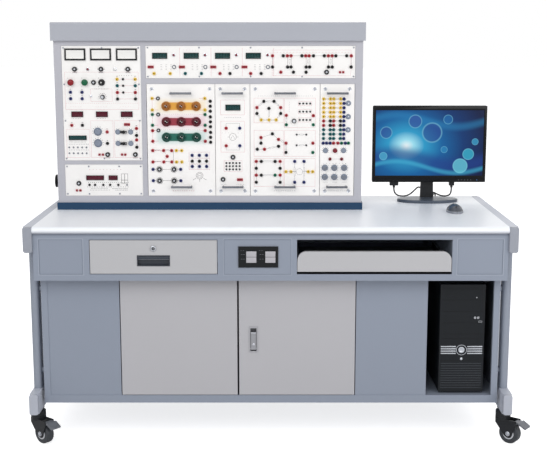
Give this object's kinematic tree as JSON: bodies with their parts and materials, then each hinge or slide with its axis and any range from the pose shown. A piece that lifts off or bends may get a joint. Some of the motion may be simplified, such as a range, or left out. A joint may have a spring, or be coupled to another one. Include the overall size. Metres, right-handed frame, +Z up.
{
  "type": "electrical engineering lab bench",
  "caption": "Steel lab bench on casters with a drawer, keyboard tray, cupboard, computer bay, plug-in instrument console and a tilting monitor.",
  "frame": {"origin": "on the floor, under the middle of the bench", "axes": "+X to the right as seen by the user, +Y to the back, +Z up"},
  "size_m": [1.8349, 0.8128, 1.495],
  "materials": {
    "laminate": "satin laminate",
    "rail_paint": "powder coat, light grey-blue",
    "cap_plastic": "moulded light grey",
    "caster_black": "black",
    "blue_grey_paint": "fine powder coat",
    "light_paint": "fine powder coat",
    "black_plastic": "semi gloss",
    "zinc": "zinc plated",
    "dark_board": "matt",
    "chrome_trim": "satin chrome",
    "navy_paint": "powder coat",
    "console_paint": "powder coat",
    "panel_white": "printed panel",
    "display_dark": "smoked window",
    "terminal_plastic": "moulded terminals",
    "red_plastic": "moulded",
    "green_plastic": "moulded",
    "slate_plastic": "moulded",
    "cable_sheath": "matt",
    "case_black": "satin black",
    "silver_plastic": "silver",
    "wheel_black": "matt",
    "pedal_grey": "moulded"
  },
  "bodies": {
    "bench": {"worktop": "laminate", "side_frames": "rail_paint", "rail_end_caps": "cap_plastic", "caster_mounts": "caster_black", "apron_front": "blue_grey_paint", "outlet_plate": "black_plastic", "floor_plates": "blue_grey_paint", "back_panels": "blue_grey_paint", "compartment_walls": "blue_grey_paint", "slide_channels": "zinc", "cabinet_frame": "blue_grey_paint", "infill_panels": "blue_grey_paint", "cabinet_walls": "blue_grey_paint", "door_hinge_pins": "zinc", "console_plinth": "navy_paint", "console_frame": "console_paint", "console_case": "console_paint", "console_hood": "console_paint", "instrument_panels": "panel_white", "panel_displays": "display_dark", "panel_terminals": "terminal_plastic", "monitor_stand": "slate_plastic", "video_cable": "cable_sheath", "power_cable": "cable_sheath", "computer_case": "case_black", "mouse": "slate_plastic"},
    "drawer": {"drawer_box": "light_paint", "drawer_front": "light_paint"},
    "tray": {"keyboard_tray": "dark_board", "keyboard_tray_front": "light_paint"},
    "left_door": {"left_door": "light_paint"},
    "right_door": {"right_door": "light_paint"},
    "door_lever": {"handle_lever": "chrome_trim"},
    "stop_button": {"stop_button": "red_plastic"},
    "start_button": {"start_button": "green_plastic"},
    "key_switch": {"key_switch": "black_plastic"},
    "coarse_knob": {"coarse_knob": "black_plastic"},
    "fine_knob": {"fine_knob": "black_plastic"},
    "side_knob": {"side_knob": "black_plastic"},
    "monitor": {"monitor_head": "black_plastic", "cable_plugs": "slate_plastic"},
    "power_button": {"tower_power_button": "silver_plastic"},
    "lamp_module": {"lamp_module": "panel_white", "lamp_module_fittings": "terminal_plastic"},
    "meter_module": {"meter_module": "panel_white", "meter_module_fittings": "terminal_plastic"},
    "circuit_module": {"circuit_module": "panel_white", "circuit_module_fittings": "terminal_plastic"},
    "component_module": {"component_module": "panel_white", "component_module_fittings": "terminal_plastic"},
    "front_left_fork": {"front_left_fork": "caster_black"},
    "front_left_wheel": {"front_left_wheel": "wheel_black"},
    "front_right_fork": {"front_right_fork": "caster_black"},
    "front_right_wheel": {"front_right_wheel": "wheel_black"},
    "rear_left_fork": {"rear_left_fork": "caster_black"},
    "rear_left_wheel": {"rear_left_wheel": "wheel_black"},
    "rear_right_fork": {"rear_right_fork": "caster_black"},
    "rear_right_wheel": {"rear_right_wheel": "wheel_black"},
    "front_left_pedal": {"front_left_brake_pedal": "pedal_grey"},
    "front_right_pedal": {"front_right_brake_pedal": "pedal_grey"}
  },
  "joints": [
    {"name": "drawer_slide", "type": "slide", "parent": "bench", "child": "drawer", "axis": [0, -1, 0], "range_m": [0, 0.35]},
    {"name": "tray_slide", "type": "slide", "parent": "bench", "child": "tray", "axis": [0, -1, 0], "range_m": [0, 0.3]},
    {"name": "left_door_hinge", "type": "hinge", "parent": "bench", "child": "left_door", "pos_m": [-0.528, -0.313, 0.4], "axis": [0, 0, -1], "range_deg": [0, 105]},
    {"name": "right_door_hinge", "type": "hinge", "parent": "bench", "child": "right_door", "pos_m": [0.295, -0.313, 0.4], "axis": [0, 0, 1], "range_deg": [0, 105]},
    {"name": "handle_lift", "type": "hinge", "parent": "right_door", "child": "door_lever", "pos_m": [-0.0615, -0.3142, 0.347], "axis": [1, 0, 0], "range_deg": [0, 60], "stiffness_Nm_per_rad": 0.3},
    {"name": "stop_press", "type": "slide", "parent": "bench", "child": "stop_button", "axis": [0, 1, 0], "range_m": [0, 0.003], "stiffness_N_per_m": 200},
    {"name": "start_press", "type": "slide", "parent": "bench", "child": "start_button", "axis": [0, 1, 0], "range_m": [0, 0.003], "stiffness_N_per_m": 200},
    {"name": "key_turn", "type": "hinge", "parent": "bench", "child": "key_switch", "pos_m": [-0.63, 0.019, 1.275], "axis": [0, 1, 0], "range_deg": [0, 90]},
    {"name": "coarse_turn", "type": "hinge", "parent": "bench", "child": "coarse_knob", "pos_m": [-0.552, 0.019, 1.091], "axis": [0, 1, 0], "range_deg": [0, 300]},
    {"name": "fine_turn", "type": "hinge", "parent": "bench", "child": "fine_knob", "pos_m": [-0.552, 0.019, 1.048], "axis": [0, 1, 0], "range_deg": [0, 300]},
    {"name": "side_knob_turn", "type": "hinge", "parent": "bench", "child": "side_knob", "pos_m": [-0.805, 0.12, 0.893], "axis": [1, 0, 0], "range_deg": [0, 300]},
    {"name": "monitor_tilt", "type": "hinge", "parent": "bench", "child": "monitor", "pos_m": [0.6225, 0.256, 1], "axis": [1, 0, 0], "range_deg": [-20, 5], "deforming": ["video_cable", "power_cable"]},
    {"name": "power_press", "type": "slide", "parent": "bench", "child": "power_button", "axis": [0, 1, 0], "range_m": [0, 0.0025], "stiffness_N_per_m": 200},
    {"name": "lamp_module_slide", "type": "slide", "parent": "bench", "child": "lamp_module", "axis": [0, -1, 0], "range_m": [0, 0.08]},
    {"name": "meter_module_slide", "type": "slide", "parent": "bench", "child": "meter_module", "axis": [0, -1, 0], "range_m": [0, 0.08]},
    {"name": "circuit_module_slide", "type": "slide", "parent": "bench", "child": "circuit_module", "axis": [0, -1, 0], "range_m": [0, 0.08]},
    {"name": "component_module_slide", "type": "slide", "parent": "bench", "child": "component_module", "axis": [0, -1, 0], "range_m": [0, 0.08]},
    {"name": "front_left_swivel", "type": "hinge", "parent": "bench", "child": "front_left_fork", "pos_m": [-0.839, -0.31, 0.09], "axis": [0, 0, 1], "continuous": true},
    {"name": "front_left_wheel_spin", "type": "hinge", "parent": "front_left_fork", "child": "front_left_wheel", "pos_m": [-0.81602, -0.32928, 0.0375], "axis": [0.6428, 0.766, 0], "continuous": true},
    {"name": "front_left_brake", "type": "hinge", "parent": "front_left_fork", "child": "front_left_pedal", "pos_m": [-0.7984, -0.34407, 0.081], "axis": [0.6428, 0.766, 0], "range_deg": [0, 15]},
    {"name": "front_right_swivel", "type": "hinge", "parent": "bench", "child": "front_right_fork", "pos_m": [0.839, -0.31, 0.09], "axis": [0, 0, 1], "continuous": true},
    {"name": "front_right_wheel_spin", "type": "hinge", "parent": "front_right_fork", "child": "front_right_wheel", "pos_m": [0.86264, -0.32847, 0.0375], "axis": [0.6157, 0.788, 0], "continuous": true},
    {"name": "front_right_brake", "type": "hinge", "parent": "front_right_fork", "child": "front_right_pedal", "pos_m": [0.88077, -0.34263, 0.081], "axis": [0.6157, 0.788, 0], "range_deg": [0, 15]},
    {"name": "rear_left_swivel", "type": "hinge", "parent": "bench", "child": "rear_left_fork", "pos_m": [-0.839, 0.31, 0.09], "axis": [0, 0, 1], "continuous": true},
    {"name": "rear_left_wheel_spin", "type": "hinge", "parent": "rear_left_fork", "child": "rear_left_wheel", "pos_m": [-0.869, 0.31, 0.0375], "axis": [0, -1, 0], "continuous": true},
    {"name": "rear_right_swivel", "type": "hinge", "parent": "bench", "child": "rear_right_fork", "pos_m": [0.839, 0.31, 0.09], "axis": [0, 0, 1], "continuous": true},
    {"name": "rear_right_wheel_spin", "type": "hinge", "parent": "rear_right_fork", "child": "rear_right_wheel", "pos_m": [0.86619, 0.32268, 0.0375], "axis": [-0.4226, 0.9063, 0], "continuous": true}
  ]
}
